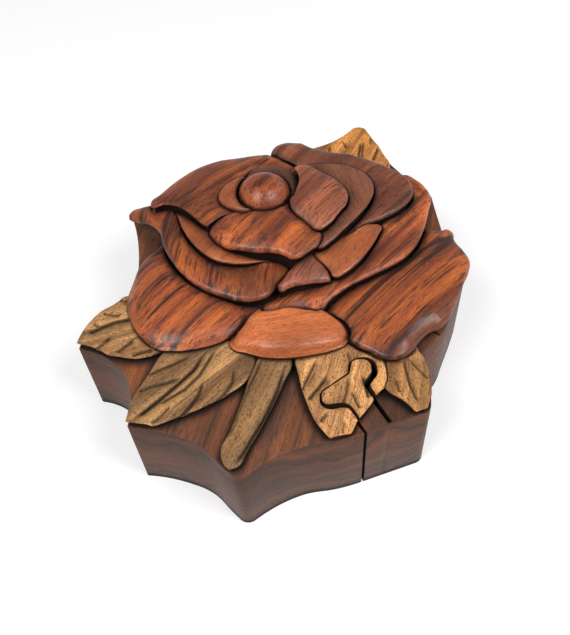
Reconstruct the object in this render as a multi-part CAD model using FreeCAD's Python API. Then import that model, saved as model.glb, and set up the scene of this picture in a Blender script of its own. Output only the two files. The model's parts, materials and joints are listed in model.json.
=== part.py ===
# Rose puzzle box: a bandsawn block with a lift-off rose lid and a jigsaw key, in millimetres.
# The frame has +Z up, the photo side is -Y, and the origin is at the middle of the footprint.
import FreeCAD, Part
import math
import os
from FreeCAD import Vector

# Block
box_width = 150.0
drawn_width = 150.0
wall_height = 38.0
tip_radius = 0.9
corner_radius = 4.0

# Compartment and its lining; the walls are measured from the block's width and its front and back corners
side_wall = 27.0
end_wall = 45.75
bottom_thickness = 5.0
floor_felt_thickness = 1.5
wall_felt_thickness = 1.5
felt_margin = 0.5

# Lid below the petals
plug_depth = 5.0
plug_clearance = 0.4
lid_felt_thickness = 1.0
lid_felt_margin = 2.0

# Leaves
leaf_thickness = 3.6
leaf_rim = 0.8
leaf_clearance = 0.4
lid_board_clearance = 0.5

# Petals
crisp_rim = 0.4
eased_rim = 0.8
rolled_rim = 2.0
undercut_margin = 1.5
bud_diameter = 21.5
bud_height = 20.4
bud_dome_radius = 12.6
bud_rim = 1.4

# Saw cuts and the key
kerf = 1.4
key_clearance = 0.5
lip_thickness = 1.2
lip_clearance = 0.2
strip_thickness = 0.8

# Sizes and levels worked out from those above
plan_scale = box_width / drawn_width
rim_scale = min(1.0, plan_scale)
compartment_length = box_width - 2.0 * side_wall
key_shift = (kerf - key_clearance) / math.sqrt(2.0)
lid_board_thickness = leaf_thickness + leaf_clearance
lid_top = wall_height + lid_board_thickness
petal_stand_height = 2.0 * bud_height * plan_scale
tall = 4.0 * wall_height
flat_bend = 0.001

# Outline of the block: runs from corner to corner, each corner with its own rounding
left_tip = (-75.25, -26.0)
front_left_tip = (-55.2, -60.8)
front_corner = (-17.0, -84.4)
right_front_corner = (50.0, -63.8)
right_notch = (50.3, -40.0)
right_corner = (74.5, -3.0)
right_back_corner = (68.2, 40.0)
back_tip = (43.6, 87.4)
back_corner = (2.0, 66.5)
back_left_corner = (-59.0, 41.5)
block_runs = [
    [left_tip, (-66.0, -29.8), (-57.8, -38.3), (-54.3, -49.5), front_left_tip],
    [front_left_tip, (-41.0, -64.5), (-29.5, -70.4), (-21.5, -79.5), front_corner],
    [front_corner, (-8.5, -78.9), (3.0, -74.2), (19.0, -72.2), (36.0, -67.8), right_front_corner],
    [right_front_corner, (51.6, -51.5), right_notch],
    [right_notch, (59.0, -32.6), (67.3, -18.0), right_corner],
    [right_corner, (69.8, 10.0), (68.8, 24.0), right_back_corner],
    [right_back_corner, (58.0, 54.0), (51.5, 66.0), back_tip],
    [back_tip, (31.0, 75.4), (17.0, 70.0), back_corner],
    [back_corner, (-28.0, 57.0), back_left_corner],
    [back_left_corner, (-55.3, 24.0), (-55.5, 6.0), (-60.5, -6.6), (-68.5, -12.8), left_tip],
]
sharp_tips = [left_tip, front_left_tip, right_notch]

# Compartment's width, from the block's front and back corners
drawn_depth = back_tip[1] - front_corner[1]
compartment_width = drawn_depth * plan_scale - 2.0 * end_wall

# Places in the plan
compartment_centre = (8.0, 13.0)
strip_start = (59.0, -32.6)
bud_centre = (-2.0, 31.0)

# Jigsaw key: the middle of the saw cut, with the rounding of each turn
key_turns = [
    ((29.0, -74.6), 0.0),
    ((22.0, -60.6), 3.4),
    ((12.4, -61.6), 3.2),
    ((13.2, -54.9), 2.8),
    ((23.8, -48.2), 2.2),
    ((24.6, -42.2), 3.4),
    ((32.9, -42.4), 3.8),
    ((32.9, -48.9), 2.8),
    ((29.2, -53.2), 1.6),
    ((39.2, -74.6), 0.0),
]

# Rim of the lid board, inside the outer petals
lid_board_rim = [
    (-50.5, -2.0), (-52.0, -12.0), (-46.0, -25.0), (-35.0, -29.5), (-20.0, -29.0), (-8.0, -34.0),
    (6.0, -36.0), (20.0, -33.5), (34.0, -40.0), (46.0, -37.0), (58.0, -28.0), (67.0, -13.0),
    (69.5, -2.0), (66.5, 10.0), (61.5, 24.0), (59.0, 36.0), (48.0, 42.0), (28.0, 51.0),
    (11.0, 58.0), (-4.0, 53.5), (-24.0, 50.0), (-40.0, 39.0), (-44.5, 26.0), (-44.0, 12.0),
]

# Leaves glued to the top of the block
leaf_outlines = {
    "left_leaf": [
        (-77.0, -27.5), (-73.5, -19.0), (-67.0, -10.5), (-58.0, -4.5), (-46.0, -6.0), (-36.0, -16.0),
        (-36.0, -27.0), (-44.0, -32.5), (-52.0, -34.2), (-61.0, -32.3), (-71.0, -29.0),
    ],
    "front_left_leaf": [
        (-56.5, -62.0), (-53.8, -52.5), (-48.6, -42.7), (-43.0, -32.5), (-32.0, -24.0), (-16.0, -26.0),
        (-9.0, -36.0), (-11.5, -45.5), (-23.0, -54.3), (-36.0, -59.8), (-48.0, -63.0),
    ],
    "front_leaf": [
        (-21.8, -78.5), (-22.4, -75.5), (-18.6, -65.6), (-14.2, -53.5), (-11.0, -44.0), (-6.0, -35.0),
        (2.0, -33.0), (4.0, -40.0), (0.0, -50.0), (-6.0, -62.0), (-12.5, -73.2), (-18.0, -81.0),
        (-20.4, -81.2),
    ],
    "key_leaf": [
        (5.0, -38.0), (5.6, -47.0), (7.5, -58.0), (11.4, -68.5), (16.0, -73.4), (20.6, -72.2),
        (24.6, -66.6), (29.6, -61.0), (32.8, -56.6), (35.2, -54.5), (37.0, -46.0), (34.0, -37.0),
        (20.0, -31.0), (9.0, -32.0),
    ],
    "right_leaf": [
        (36.4, -46.0), (35.3, -55.0), (40.5, -60.2), (46.5, -65.4), (50.5, -60.0), (53.0, -50.0),
        (50.0, -41.5), (46.0, -34.0), (39.0, -36.0),
    ],
    "back_leaf": [
        (43.5, 86.5), (37.0, 80.5), (30.0, 75.3), (18.0, 71.0), (14.0, 62.0), (24.0, 52.0),
        (44.0, 45.0), (53.0, 56.0), (51.0, 66.0), (48.0, 78.0),
    ],
}

# Petals from the top of the rose down, each one cut to fit round those before it:
# outline, crown of its rounded top (x, y, height over the lid board), radius of that top, width of its eased rim
petal_drawings = {
    "small_crescent_petal": (
        [(-9.0, 39.8), (-14.6, 38.0), (-19.0, 34.2), (-20.5, 30.6), (-19.2, 26.6), (-15.7, 23.4),
         (-9.0, 21.0), (-3.0, 26.0), (-3.0, 35.0)],
        (-8.0, 30.0, 16.6), 60.0, crisp_rim),
    "bud_collar": (
        [(-12.4, 37.6), (-8.0, 43.6), (-2.0, 46.8), (3.6, 46.6), (8.4, 44.2), (11.2, 40.6), (12.3, 36.0),
         (11.2, 30.4), (8.6, 25.6), (5.0, 25.0), (0.0, 29.0), (-6.0, 32.0)],
        (4.0, 40.0, 14.6), 60.0, crisp_rim),
    "inner_right_petal": (
        [(11.0, 42.2), (15.0, 43.4), (21.1, 38.6), (27.0, 33.4), (31.0, 26.0), (30.4, 21.6), (26.9, 16.9),
         (22.5, 11.6), (18.4, 9.4), (13.0, 14.0), (8.0, 21.0), (8.6, 28.0), (10.2, 36.0)],
        (14.0, 34.0, 16.8), 120.0, crisp_rim),
    "front_inner_petal": (
        [(-24.4, 15.4), (-23.0, 10.6), (-18.6, 6.0), (-8.6, 2.2), (2.0, 0.2), (8.2, -2.8), (13.6, 0.4),
         (18.2, 4.2), (19.4, 9.0), (18.0, 14.4), (12.0, 21.0), (4.0, 28.0), (-6.0, 28.0), (-14.0, 22.0),
         (-21.0, 18.6)],
        (-2.0, 20.0, 15.2), 110.0, eased_rim),
    "back_left_petal": (
        [(-48.5, 35.1), (-43.6, 40.2), (-36.6, 46.8), (-28.0, 52.6), (-20.0, 55.2), (-11.1, 55.9),
         (-2.0, 57.2), (2.4, 57.2), (5.6, 54.4), (9.2, 50.6), (12.4, 46.6), (10.0, 42.0), (2.0, 38.0),
         (-3.0, 30.0), (-10.0, 19.0), (-20.0, 14.0), (-25.6, 16.4), (-30.0, 21.8), (-34.0, 26.8),
         (-38.0, 30.4), (-42.4, 32.3), (-47.9, 32.7)],
        (-10.0, 26.0, 14.6), 150.0, crisp_rim),
    "left_crescent_petal": (
        [(-39.0, 31.8), (-37.6, 27.6), (-35.3, 19.4), (-31.9, 11.8), (-27.6, 5.6), (-22.7, 1.2),
         (-17.4, -0.8), (-11.7, -1.2), (-6.0, -0.2), (0.0, 1.4), (5.0, 4.0), (5.0, 7.0), (0.0, 11.0),
         (-16.0, 20.0), (-28.0, 31.0), (-35.0, 35.0)],
        (-22.0, 14.0, 11.4), 90.0, crisp_rim),
    "middle_right_petal": (
        [(13.5, 46.0), (20.0, 46.6), (26.5, 46.2), (35.7, 42.2), (41.2, 36.6), (42.0, 29.6), (39.4, 22.8),
         (33.9, 15.6), (28.2, 9.8), (21.6, 3.8), (18.4, 2.0), (14.0, 8.0), (12.0, 24.0), (8.0, 38.0)],
        (24.0, 28.0, 14.2), 130.0, crisp_rim),
    "back_right_petal": (
        [(1.0, 56.0), (3.2, 62.0), (8.6, 64.2), (13.6, 62.6), (20.0, 58.6), (31.0, 53.8), (43.0, 48.6),
         (52.0, 41.6), (57.4, 35.0), (57.7, 28.8), (51.2, 20.4), (44.6, 16.6), (36.4, 13.4), (28.0, 8.6),
         (22.0, 12.0), (22.0, 30.0), (12.0, 40.0), (0.0, 44.0), (-3.0, 50.0)],
        (30.0, 62.0, 12.8), 420.0, eased_rim),
    "small_triangle_petal": (
        [(10.0, 3.6), (8.4, -2.2), (5.6, -6.2), (2.6, -9.8), (0.5, -12.0), (1.2, -13.8), (5.4, -13.5),
         (12.8, -12.9), (18.4, -12.3), (20.7, -11.6), (20.7, -9.6), (18.6, -6.0), (15.8, -2.2),
         (13.8, 4.0)],
        (11.0, -4.0, 10.8), 30.0, eased_rim),
    "right_crescent_petal": (
        [(13.0, 4.4), (20.0, 9.0), (30.0, 12.4), (38.0, 13.8), (42.3, 13.5), (42.9, 12.3), (41.4, 8.6),
         (38.3, 2.9), (34.9, -1.9), (30.5, -6.6), (26.1, -9.7), (22.6, -10.9), (21.2, -10.2), (20.4, -8.0),
         (18.4, -5.2), (14.0, -1.0)],
        (30.0, 4.0, 11.0), 70.0, crisp_rim),
    "second_left_petal": (
        [(-58.2, 33.4), (-56.4, 36.8), (-50.6, 38.0), (-43.0, 36.0), (-32.0, 28.0), (-18.0, 12.0),
         (0.0, 8.0), (7.0, 1.0), (5.0, -4.0), (1.0, -9.8), (-4.6, -15.8), (-8.6, -16.8), (-14.0, -16.2),
         (-21.0, -13.6), (-27.0, -10.4), (-32.4, -5.8), (-36.9, 0.0), (-40.8, 7.4), (-43.2, 14.0),
         (-44.6, 20.4), (-48.4, 25.6), (-54.0, 29.4)],
        (-24.0, 12.0, 9.2), 200.0, eased_rim),
    "right_petal": (
        [(53.6, 44.4), (57.8, 45.0), (62.2, 40.9), (65.0, 35.0), (65.4, 29.4), (62.6, 20.0), (59.0, 10.4),
         (55.4, 3.4), (49.7, -2.9), (43.4, -6.8), (35.4, -10.4), (27.5, -14.0), (20.0, -19.0), (15.4, -23.2),
         (11.0, -22.6), (4.0, -20.9), (-2.6, -21.6), (-5.8, -20.2), (-5.0, -17.0), (-1.0, -13.6), (10.0, -7.0),
         (28.0, 0.0), (40.0, 10.0), (46.0, 26.0), (50.0, 40.0)],
        (36.0, 12.0, 8.8), 260.0, eased_rim),
    "outer_left_petal": (
        [(-53.0, 7.6), (-55.6, -2.0), (-56.9, -8.4), (-56.0, -15.0), (-53.6, -21.9), (-50.0, -27.8),
         (-45.1, -32.2), (-38.0, -33.9), (-30.6, -33.6), (-23.4, -32.1), (-18.4, -29.7), (-13.8, -25.9),
         (-9.2, -20.5), (-6.2, -15.2), (-8.0, -10.0), (-22.0, -6.0), (-34.0, 6.0), (-38.6, 16.6),
         (-43.4, 20.2), (-48.6, 14.8)],
        (-34.0, -10.0, 6.4), 95.0, eased_rim),
    "front_petal": (
        [(-18.2, -33.2), (-16.8, -35.0), (-12.5, -37.0), (-6.5, -39.6), (1.5, -40.9), (10.5, -40.4),
         (19.0, -38.6), (23.8, -36.2), (25.7, -32.8), (24.6, -29.0), (20.6, -24.8), (13.0, -19.0),
         (2.0, -16.0), (-8.0, -18.5), (-15.0, -27.0)],
        (3.0, -30.0, 6.8), 62.0, rolled_rim),
    "outer_right_petal": (
        [(66.6, 14.6), (70.2, 15.2), (71.2, 14.2), (71.6, 7.6), (73.8, 2.0), (75.0, -3.2), (73.4, -8.8),
         (69.9, -15.4), (65.2, -24.4), (61.4, -30.6), (58.0, -33.4), (53.6, -35.2), (50.2, -38.0),
         (47.0, -41.9), (43.6, -44.3), (39.9, -45.2), (36.3, -44.5), (31.6, -41.2), (26.7, -37.4),
         (23.0, -33.0), (19.0, -26.0), (14.0, -18.0), (24.0, -6.0), (42.0, 2.0), (52.0, 12.0), (59.0, 17.0)],
        (48.0, -14.0, 6.0), 170.0, eased_rim),
}
# Depth taken off the underside of petals where they reach past the lid board
undercuts = {
    "second_left_petal": 4.0,
    "back_left_petal": 5.0,
    "back_right_petal": 6.0,
    "right_petal": 3.5,
}


def plan_point(point, height=0.0):
    """Point of the drawn plan at a height."""
    return Vector(point[0] * plan_scale, point[1] * plan_scale, height)


def heading(before, place, after):
    """Direction at a place of the circle through it and its two neighbours."""
    arrive = place - before
    leave = after - place
    return (arrive / arrive.dot(arrive) + leave / leave.dot(leave)).normalize()


def mirrored(direction, chord):
    """Direction at the other end of an arc over a chord."""
    return chord * (2.0 * direction.dot(chord) / chord.dot(chord)) - direction


def arc_to(start, direction, end):
    """Arc that leaves a point in a direction and ends at another point; a line if it hardly bends."""
    chord = end - start
    side = Vector(-direction.y, direction.x, 0.0)
    bend = chord.dot(side)
    if abs(bend) < flat_bend:
        return Part.LineSegment(start, end).toShape()
    centre = start + side * (chord.dot(chord) / (2.0 * bend))
    middle = centre + (start + chord / 2.0 - centre).normalize() * (start - centre).Length
    return Part.Arc(start, middle, end).toShape()


def arcs_through(places, directions):
    """Pairs of arcs that join places and pass smoothly into each other."""
    edges = []
    for start, end, leave, arrive in zip(places, places[1:], directions, directions[1:]):
        chord = end - start
        pull = chord.dot(leave + arrive)
        turn = 2.0 * (1.0 - leave.dot(arrive))
        reach = chord.dot(chord) / (pull + math.sqrt(pull * pull + turn * chord.dot(chord)))
        first = start + leave * reach
        second = end - arrive * reach
        middle = (first + second) / 2.0
        edges.append(arc_to(start, leave, middle))
        edges.append(arc_to(middle, (second - first).normalize(), end))
    return edges


def smooth_loop(points, height, margin=0.0):
    """Closed smooth wire of arcs through points of the plan, or a margin outside an anticlockwise loop."""
    places = [plan_point(p, height) for p in points]
    ring = places[-1:] + places + places[:1]
    directions = [heading(*three) for three in zip(ring, ring[1:], ring[2:])]
    moved = [place + Vector(way.y, -way.x, 0.0) * margin for place, way in zip(places, directions)]
    return Part.Wire(arcs_through(moved + moved[:1], directions + directions[:1]))


def corner_loop(runs, height):
    """Closed outline made of smooth runs of arcs that meet in corners."""
    edges = []
    for run in runs:
        places = [plan_point(p, height) for p in run]
        inner = [heading(*three) for three in zip(places, places[1:], places[2:])]
        first = mirrored(inner[0], places[1] - places[0])
        last = mirrored(inner[-1], places[-1] - places[-2])
        edges += arcs_through(places, [first] + inner + [last])
    return Part.Wire(edges)


def rounded_loop(turns, height):
    """Closed outline of straight runs with an arc at each turn that has a radius."""
    corners = [plan_point(place, height) for place, radius in turns]
    edges = []
    ends = []
    for i, corner in enumerate(corners):
        radius = turns[i][1] * plan_scale
        before = (corners[i - 1] - corner).normalize()
        after = (corners[(i + 1) % len(corners)] - corner).normalize()
        half = before.getAngle(after) / 2.0
        reach = radius / math.tan(half)
        start = corner + before * reach
        end = corner + after * reach
        if ends:
            edges.append(Part.LineSegment(ends[-1], start).toShape())
        if radius > 0.0:
            middle = corner + (before + after).normalize() * (radius / math.sin(half) - radius)
            edges.append(Part.Arc(start, middle, end).toShape())
        ends += [start, end]
    edges.append(Part.LineSegment(ends[-1], ends[0]).toShape())
    return Part.Wire(edges)


def prism(wire, height):
    """Solid raised straight up from a flat closed wire."""
    return Part.Face(wire).extrude(Vector(0, 0, height))


def oval(length, width, bottom, height):
    """Upright oval about the compartment's middle."""
    middle = plan_point(compartment_centre, bottom)
    reaches = [Vector(length / 2.0, 0.0, 0.0), Vector(0.0, width / 2.0, 0.0)]
    reaches.sort(key=lambda reach: reach.Length, reverse=True)
    ellipse = Part.Ellipse(middle + reaches[0], middle + reaches[1], middle)
    return prism(Part.Wire([ellipse.toShape()]), height)


def crown_ball(place, height, radius):
    """Ball whose top is at a place and height over the lid board; its seam lies at the bottom."""
    ball = Part.makeSphere(radius)
    ball.rotate(Vector(), Vector(0, 1, 0), 90)
    ball.translate(plan_point(place, lid_top + height - radius))
    return ball


def ease_top(solid, width):
    """Ease the rim of a solid's highest face."""
    top = max(solid.Faces, key=lambda face: face.CenterOfMass.z)
    return solid.makeChamfer(width * rim_scale, top.Edges)


def export(name, shape):
    """Write one node and report its solids."""
    shape = shape.removeSplitter()
    shape.exportStep("parts/" + name + ".step")
    print(name, len(shape.Solids), round(shape.Volume, 1), shape.isValid())


def upright_edges(solid, corners):
    """Edges that run up the walls at corners of the plan."""
    found = []
    for edge in solid.Edges:
        ends = [edge.Vertexes[0].Point, edge.Vertexes[-1].Point]
        foot = Vector(ends[0].x, ends[0].y, 0.0)
        near = min(foot.distanceToPoint(plan_point(corner)) for corner in corners) < tip_radius
        if near and abs(ends[0].z - ends[1].z) > wall_height / 2.0:
            found.append(edge)
    return found


def make_block():
    """Whole block with its upright corners rounded."""
    block = prism(corner_loop(block_runs, 0.0), wall_height)
    blunt_corners = [run[0] for run in block_runs if run[0] not in sharp_tips]
    block = block.makeFillet(corner_radius, upright_edges(block, blunt_corners))
    return block.makeFillet(tip_radius, upright_edges(block, sharp_tips))


def make_key_cuts():
    """Prisms of the keyway in the block and of the key that stands in it."""
    middle = rounded_loop(key_turns, -tall)
    keyway = prism(middle.makeOffset2D(kerf / 2.0), 3.0 * tall)
    key = prism(middle.makeOffset2D(-kerf / 2.0), 3.0 * tall)
    key.translate(Vector(-key_shift, key_shift, 0.0))
    return keyway, key


def make_lip(block, keyway, key):
    """Thin lip of the block that closes the right-hand cut just behind the wall face."""
    neck = plan_point(key_turns[-2][0])
    along = (plan_point(key_turns[-1][0]) - neck).normalize()
    across = Vector(-along.y, along.x, 0.0)
    inner = block.copy()
    inner.translate(along * -lip_thickness)
    wall_skin = block.cut(inner)
    end = neck + along * box_width
    side = across * corner_radius
    right_hand = Part.makePolygon([neck - side, neck + side, end + side, end - side, neck - side])
    room = key.copy()
    room.translate(across * lip_clearance)
    return wall_skin.common(keyway).common(prism(right_hand, wall_height)).cut(room)


def make_strip_slot():
    """Flat upright slot from the right wall to the compartment."""
    start = plan_point(strip_start)
    along = (plan_point(compartment_centre) - start).normalize()
    side = Vector(-along.y, along.x, 0.0) * (strip_thickness / 2.0)
    near = start - along * corner_radius
    far = plan_point(compartment_centre)
    loop = Part.makePolygon([near - side, far - side, far + side, near + side, near - side])
    return prism(loop, wall_height)


def make_leaf(outline, block_above):
    """Leaf with an eased rim, trimmed to the block, and the prism it stands in."""
    stand = prism(smooth_loop(outline, wall_height), leaf_thickness)
    return ease_top(stand, leaf_rim).common(block_above), stand


def make_petal(outline, crown, radius, rim):
    """Petal with upright sides, a rounded top and an eased rim, and the prism it stands in."""
    stand = prism(smooth_loop(outline, lid_top), petal_stand_height)
    petal = stand.common(crown_ball(crown, crown[2] * plan_scale, radius * plan_scale))
    return ease_top(petal, rim), stand


def fit_round(piece, neighbours):
    """Piece cut to fit against the prisms of those that were set before it."""
    for stand in neighbours:
        if stand.BoundBox.intersect(piece.BoundBox):
            piece = piece.cut(stand)
    return piece


def make_undercut(depth):
    """Slab under the petals, outside the lid board, that thins what overhangs it."""
    slab = Part.makeBox(2.0 * box_width, 2.0 * box_width, depth, Vector(-box_width, -box_width, lid_top))
    return slab.cut(prism(smooth_loop(lid_board_rim, lid_top, undercut_margin), depth))


def make_bud():
    """Round bud with a domed top."""
    radius = bud_diameter * plan_scale / 2.0
    stand = Part.makeCylinder(radius, petal_stand_height, plan_point(bud_centre, lid_top))
    dome_radius = bud_dome_radius * plan_scale
    dome_top = lid_top + bud_height * plan_scale
    dome = Part.makeSphere(dome_radius, plan_point(bud_centre, dome_top - dome_radius))
    return ease_top(stand.common(dome), bud_rim), stand


os.makedirs("parts", exist_ok=True)

# Block with its compartment, keyway and saw slot
whole_block = make_block()
block_above = whole_block.copy()
block_above.translate(Vector(0.0, 0.0, wall_height / 2.0))
compartment = oval(compartment_length, compartment_width, 0.0, wall_height)
keyway, key_prism = make_key_cuts()
strip_slot = make_strip_slot()
lip = make_lip(whole_block, keyway, key_prism)
export("box_body", whole_block.cut(compartment).cut(strip_slot).cut(keyway).fuse(lip))
export("kerf_strip", whole_block.common(strip_slot).cut(compartment))
export("bottom_board", oval(compartment_length, compartment_width, 0.0, bottom_thickness))

# Felt lining
felt_floor = bottom_thickness + floor_felt_thickness
felt_height = wall_height - plug_depth - lid_felt_thickness - felt_margin - felt_floor
lined_length = compartment_length - 2.0 * wall_felt_thickness
lined_width = compartment_width - 2.0 * wall_felt_thickness
export("floor_felt", oval(compartment_length, compartment_width, bottom_thickness, floor_felt_thickness))
export("wall_felt", oval(compartment_length, compartment_width, felt_floor, felt_height).cut(
    oval(lined_length, lined_width, felt_floor, felt_height)))

# Lid board, plug and felt
plug_length = compartment_length - 2.0 * plug_clearance
plug_width = compartment_width - 2.0 * plug_clearance
plug_bottom = wall_height - plug_depth
export("lid_board", prism(smooth_loop(lid_board_rim, wall_height), lid_board_thickness))
export("lid_plug", oval(plug_length, plug_width, plug_bottom, plug_depth))
export("lid_felt", oval(plug_length - 2.0 * lid_felt_margin, plug_width - 2.0 * lid_felt_margin,
                        plug_bottom - lid_felt_thickness, lid_felt_thickness))

# Key and leaves
lid_room = prism(smooth_loop(lid_board_rim, wall_height, lid_board_clearance), lid_board_thickness)
export("key_block", whole_block.common(key_prism))
stands = [lid_room]
for name, outline in leaf_outlines.items():
    leaf, stand = make_leaf(outline, block_above)
    leaf = fit_round(leaf, stands)
    if name == "key_leaf":
        export("key_leaf_cap", leaf.common(key_prism))
        leaf = leaf.cut(keyway)
    export(name, leaf)
    stands.append(stand)

# Rose, from the bud down
petal, stand = make_bud()
export("bud", petal)
stands = [stand]
for name, drawing in petal_drawings.items():
    petal, stand = make_petal(*drawing)
    petal = fit_round(petal, stands)
    if name in undercuts:
        petal = petal.cut(make_undercut(undercuts[name]))
    export(name, petal)
    stands.append(stand)
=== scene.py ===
"""Rose puzzle box: the carved, grained and polished look of a hand-cut wooden box with a rose lid."""
import json
import math

import bmesh
import bpy
import numpy as np
from bpy.props import FloatProperty, FloatVectorProperty, IntProperty, PointerProperty
from mathutils import Matrix, Vector
from mathutils.bvhtree import BVHTree

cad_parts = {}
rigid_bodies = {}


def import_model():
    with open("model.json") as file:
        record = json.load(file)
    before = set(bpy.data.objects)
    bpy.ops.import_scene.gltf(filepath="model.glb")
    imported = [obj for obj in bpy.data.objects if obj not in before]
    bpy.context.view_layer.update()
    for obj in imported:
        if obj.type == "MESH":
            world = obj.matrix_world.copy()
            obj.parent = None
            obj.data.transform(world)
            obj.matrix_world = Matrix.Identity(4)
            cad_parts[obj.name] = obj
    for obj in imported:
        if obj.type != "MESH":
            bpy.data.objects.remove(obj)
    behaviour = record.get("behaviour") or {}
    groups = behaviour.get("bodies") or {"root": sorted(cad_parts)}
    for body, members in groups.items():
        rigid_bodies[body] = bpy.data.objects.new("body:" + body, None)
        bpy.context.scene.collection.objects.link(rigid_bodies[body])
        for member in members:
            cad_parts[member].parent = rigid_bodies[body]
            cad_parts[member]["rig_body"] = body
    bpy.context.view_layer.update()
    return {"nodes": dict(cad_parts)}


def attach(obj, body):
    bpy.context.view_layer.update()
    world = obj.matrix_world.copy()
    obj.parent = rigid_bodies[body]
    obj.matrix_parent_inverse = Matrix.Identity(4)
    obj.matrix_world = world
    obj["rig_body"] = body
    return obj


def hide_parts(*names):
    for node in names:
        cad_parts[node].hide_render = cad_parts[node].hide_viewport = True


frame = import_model()

bl_info = {
    "name": "Rose Puzzle Box",
    "version": (1, 0, 0),
    "blender": (4, 5, 0),
    "location": "View3D > Sidebar > Rose Box",
    "description": "Carves, grains and lights a wooden puzzle box with a layered rose lid",
    "category": "Object",
}

MILLIMETRE = 0.001
WHITE = (1.0, 1.0, 1.0, 1.0)

# Gaps between pieces: sides that touch, sides of a leaf's saw cut, and the key's hairline
TOUCHING = 0.7 * MILLIMETRE
SAW_GAP = 2.4 * MILLIMETRE
HAIRLINE = 0.3 * MILLIMETRE

# Walls of the block that face each other from less than this belong to a saw cut
CUT_WIDTH = 4.0 * MILLIMETRE

# Largest rise of the normal of an upright face, on a carved and on a sawn piece
CARVED_UPRIGHT = 0.3
SAWN_UPRIGHT = 0.5

# Clean-up of the sawn pieces' meshes: corners that are one, faces that are one and edges that stay sharp
ONE_CORNER = 0.002 * MILLIMETRE
ONE_FACE = math.radians(0.6)
SHARP_EDGE = math.radians(32.0)

# Steps of one round of sanding: toward the neighbours' mean and back again, so that nothing shrinks
SANDING_STEPS = [0.5, -0.52]

# How dark the painted shade gets in the wood's saw cuts, veins, sides, crevices and dips and near
# neighbours, from 0 to 1
CUT_SHADE = 0.95
CONTACT_SHADE = 0.95
VEIN_SHADE = 0.95
LEAF_SIDE_SHADE = 0.97
PETAL_SIDE_SHADE = 0.94
CREVICE_SHADE = 0.75
DIP_SHADE = 0.7

# Distance from a neighbour within which painted shade darkens the wood
CONTACT_SHADE_REACH = 4.0 * MILLIMETRE

# Places in the wood, in millimetres: the step from piece to piece, and how slowly the grain wanders
SEED_STEP = (37.0, 11.0, 23.0)
WANDER_LENGTHS = (60.0, 24.0, 24.0)

# Layers on the block's walls: length and height of their waves in millimetres, slant, and the painted
# shade that makes the walls darker than the top
WALL_WAVE = 30.0
WALL_SWING = 38.0
WALL_SLANT = 0.6
WALL_PAINTED_SHADE = 0.66

# Sockets of the mix node that hold the share, the two colours and the mixed colour
MIX_SHARE, MIX_FIRST, MIX_SECOND, MIXED = 0, 6, 7, 2

# Pieces of the rose from the top down: their wood, the direction of its grain in the plan and its tone
PETAL_LOOKS = {
    "bud": ("striped", 50.0, 0.98),
    "small_crescent_petal": ("bright", 60.0, 0.75),
    "bud_collar": ("greyish", 120.0, 0.7),
    "inner_right_petal": ("pinkish", 47.0, 1.03),
    "front_inner_petal": ("striped", 46.0, 1.4),
    "back_left_petal": ("striped", 38.0, 1.0),
    "left_crescent_petal": ("bright", 50.0, 1.0),
    "middle_right_petal": ("greyish", 100.0, 0.9),
    "back_right_petal": ("pinkish", 42.0, 0.74),
    "small_triangle_petal": ("pinkish", 58.0, 1.3),
    "right_crescent_petal": ("bright", 50.0, 1.02),
    "second_left_petal": ("striped", 78.0, 1.04),
    "right_petal": ("striped", 47.0, 1.45),
    "outer_left_petal": ("striped", 46.0, 1.14),
    "front_petal": ("bright", 8.0, 1.36),
    "outer_right_petal": ("striped", 43.0, 1.0),
}

# Grain of the petals' woods: widths of the light bands and of the dark stripes in millimetres,
# and the strengths of the stripes and of the fine lines
MARKED_GRAIN = (6.0, 3.6, 0.75, 0.85)
QUIET_GRAIN = (6.0, 6.0, 0.3, 0.3)
PETAL_GRAINS = {
    "striped": MARKED_GRAIN,
    "pinkish": MARKED_GRAIN,
    "bright": QUIET_GRAIN,
    "greyish": QUIET_GRAIN,
}

# Strength of the dark stripes on petals that are striped more strongly than the others
STRONG_STRIPES = {"outer_left_petal": 1.3, "outer_right_petal": 1.15, "second_left_petal": 1.1}

# Soft stretches of the petals' rims: a place in the plan, its reach and the drop, in millimetres
SOFT_RIMS = {
    "inner_right_petal": [((12.0, 14.0), 11.0, 1.8)],
    "small_crescent_petal": [((-15.0, 25.0), 14.0, 1.8)],
    "front_inner_petal": [((-21.0, 8.0), 11.0, 1.8), ((-6.0, -1.0), 16.0, 1.0)],
    "back_right_petal": [((5.0, 61.0), 13.0, 2.2), ((24.0, 57.0), 13.0, 1.6), ((44.0, 48.0), 13.0, 1.2)],
    "second_left_petal": [((-55.0, 33.0), 8.0, 1.0), ((-22.0, -12.0), 18.0, 1.0)],
    "right_petal": [((4.0, -21.0), 16.0, 2.6), ((62.0, 40.0), 12.0, 1.2)],
    "outer_left_petal": [((-55.0, -12.0), 22.0, 2.8), ((-34.0, -33.0), 22.0, 2.8)],
    "front_petal": [((2.0, -38.0), 40.0, 2.2)],
    "outer_right_petal": [((52.0, -37.0), 13.0, 2.6), ((63.0, -28.0), 10.0, 1.6)],
}

# Rounds of sanding after the carving, and those of petals that are softer than the others
PETAL_SANDING = 3
SOFT_SANDING = {
    "front_petal": 12,
    "right_petal": 9,
    "outer_left_petal": 10,
    "inner_right_petal": 14,
    "bud": 6,
}

# Pieces whose sides are undercut less, as a share of the others' undercut
UNDERCUTS = {"bud": 0.2, "small_crescent_petal": 0.5, "front_petal": 0.2}

# Share of a petal's height above the lid board that carving may take off
CARVED_SHARE = 0.6

# Depth below the rim at which the painted shade on a petal's side begins, in millimetres, and that of
# single petals
SIDE_SHADE_START = 0.1
SIDE_SHADE_STARTS = {"bud": 0.4, "front_petal": -0.2, "outer_left_petal": 0.0}

# Where petals don't sink toward a higher one: a place in the plan and its reach, in millimetres
LEVEL_PLACES = {"second_left_petal": ((-50.0, 32.0), 15.0), "front_petal": ((2.0, -22.0), 40.0)}

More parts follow.
